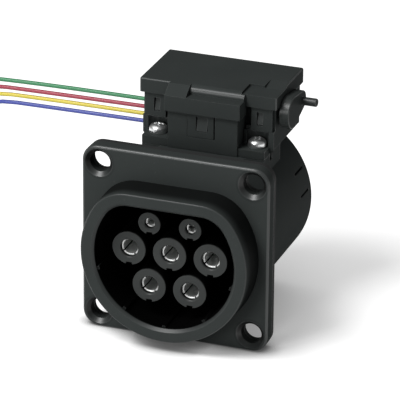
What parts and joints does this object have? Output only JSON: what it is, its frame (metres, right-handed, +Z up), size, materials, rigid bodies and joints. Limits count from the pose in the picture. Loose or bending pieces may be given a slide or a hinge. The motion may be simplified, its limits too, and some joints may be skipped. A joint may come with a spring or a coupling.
{
  "type": "charging socket",
  "caption": "Square panel socket for a charging plug: round contact cavity with a flat top, rear tube, locking actuator with hand release lever, and connecting wires.",
  "frame": {"origin": "centre of the flange's rear face, where the flange meets the panel gasket", "axes": "+Z up, -Y out of the panel towards the plug, +X to the right as seen by the person who plugs in"},
  "size_m": [0.1638, 0.0788, 0.0884],
  "materials": {
    "shell_plastic": "matte moulded",
    "housing_plastic": "satin moulded",
    "lever_plastic": "satin moulded",
    "insert_plastic": "matte moulded",
    "switch_plastic": "satin moulded",
    "gear_plastic": "satin moulded",
    "board_green": "lacquered",
    "gasket_rubber": "matte",
    "seal_rubber": "matte",
    "contact_metal": "silver plated, polished",
    "steel_screws": "zinc plated",
    "steel_axle": "ground",
    "bolt_steel": "ground",
    "motor_steel": "drawn",
    "ferrule_metal": "tinned",
    "wire_blue": "satin insulation",
    "wire_yellow": "satin insulation",
    "wire_red": "satin insulation",
    "wire_green": "satin insulation"
  },
  "bodies": {
    "socket": {"flange_plate": "shell_plastic", "socket_shell": "shell_plastic", "panel_gasket": "gasket_rubber", "contact_carrier": "insert_plastic", "contact_sleeves": "insert_plastic", "contact_earth": "contact_metal", "contact_neutral": "contact_metal", "contact_line_1": "contact_metal", "contact_line_2": "contact_metal", "contact_line_3": "contact_metal", "contact_pilot": "contact_metal", "contact_proximity": "contact_metal", "contact_retainer": "insert_plastic", "retainer_screws": "steel_screws", "rear_housing": "shell_plastic", "rear_cover": "shell_plastic", "wire_seal": "seal_rubber", "actuator_housing": "housing_plastic", "actuator_cover": "housing_plastic", "housing_screws": "steel_screws", "bolt_seal": "seal_rubber", "shaft_seal": "seal_rubber", "gear_frame": "housing_plastic", "lock_motor": "motor_steel", "idler_axle": "steel_axle", "position_switch": "switch_plastic", "circuit_board": "board_green", "wire_grommet": "seal_rubber", "wire_blue": "wire_blue", "wire_yellow": "wire_yellow", "wire_red": "wire_red", "wire_green": "wire_green", "wire_coil_blue": "wire_blue", "wire_coil_yellow": "wire_yellow", "wire_coil_red": "wire_red", "wire_coil_green": "wire_green", "wire_ferrule_blue": "ferrule_metal", "wire_ferrule_yellow": "ferrule_metal", "wire_ferrule_red": "ferrule_metal", "wire_ferrule_green": "ferrule_metal"},
    "bolt": {"lock_bolt": "bolt_steel"},
    "release": {"drive_gear": "gear_plastic", "release_shaft": "steel_axle", "release_lever": "lever_plastic"},
    "idler": {"idler_gear": "gear_plastic"},
    "rotor": {"motor_pinion": "gear_plastic"},
    "plunger": {"switch_plunger": "switch_plastic"}
  },
  "joints": [
    {"name": "release_turn", "type": "hinge", "parent": "socket", "child": "release", "pos_m": [0, 0.0382, 0.0425], "axis": [1, 0, 0], "range_deg": [0, 44.77]},
    {"name": "bolt_slide", "type": "slide", "parent": "socket", "child": "bolt", "axis": [0, 0, -1], "range_m": [0, 0.005]},
    {"name": "idler_spin", "type": "hinge", "parent": "socket", "child": "idler", "pos_m": [0, 0.04509, 0.03671], "axis": [1, 0, 0], "range_deg": [-116.4, 0]},
    {"name": "rotor_spin", "type": "hinge", "parent": "socket", "child": "rotor", "pos_m": [0, 0.0506, 0.04384], "axis": [1, 0, 0], "range_deg": [0, 302.61]},
    {"name": "plunger_slide", "type": "slide", "parent": "socket", "child": "plunger", "axis": [0, 0, -1], "range_m": [0, 0.0005], "stiffness_N_per_m": 200}
  ],
  "couplings": [
    {"joint": "release_turn", "follows": "bolt_slide", "rad_per_m": 156.25},
    {"joint": "idler_spin", "follows": "bolt_slide", "rad_per_m": -406.25},
    {"joint": "rotor_spin", "follows": "bolt_slide", "rad_per_m": 1056.2}
  ]
}
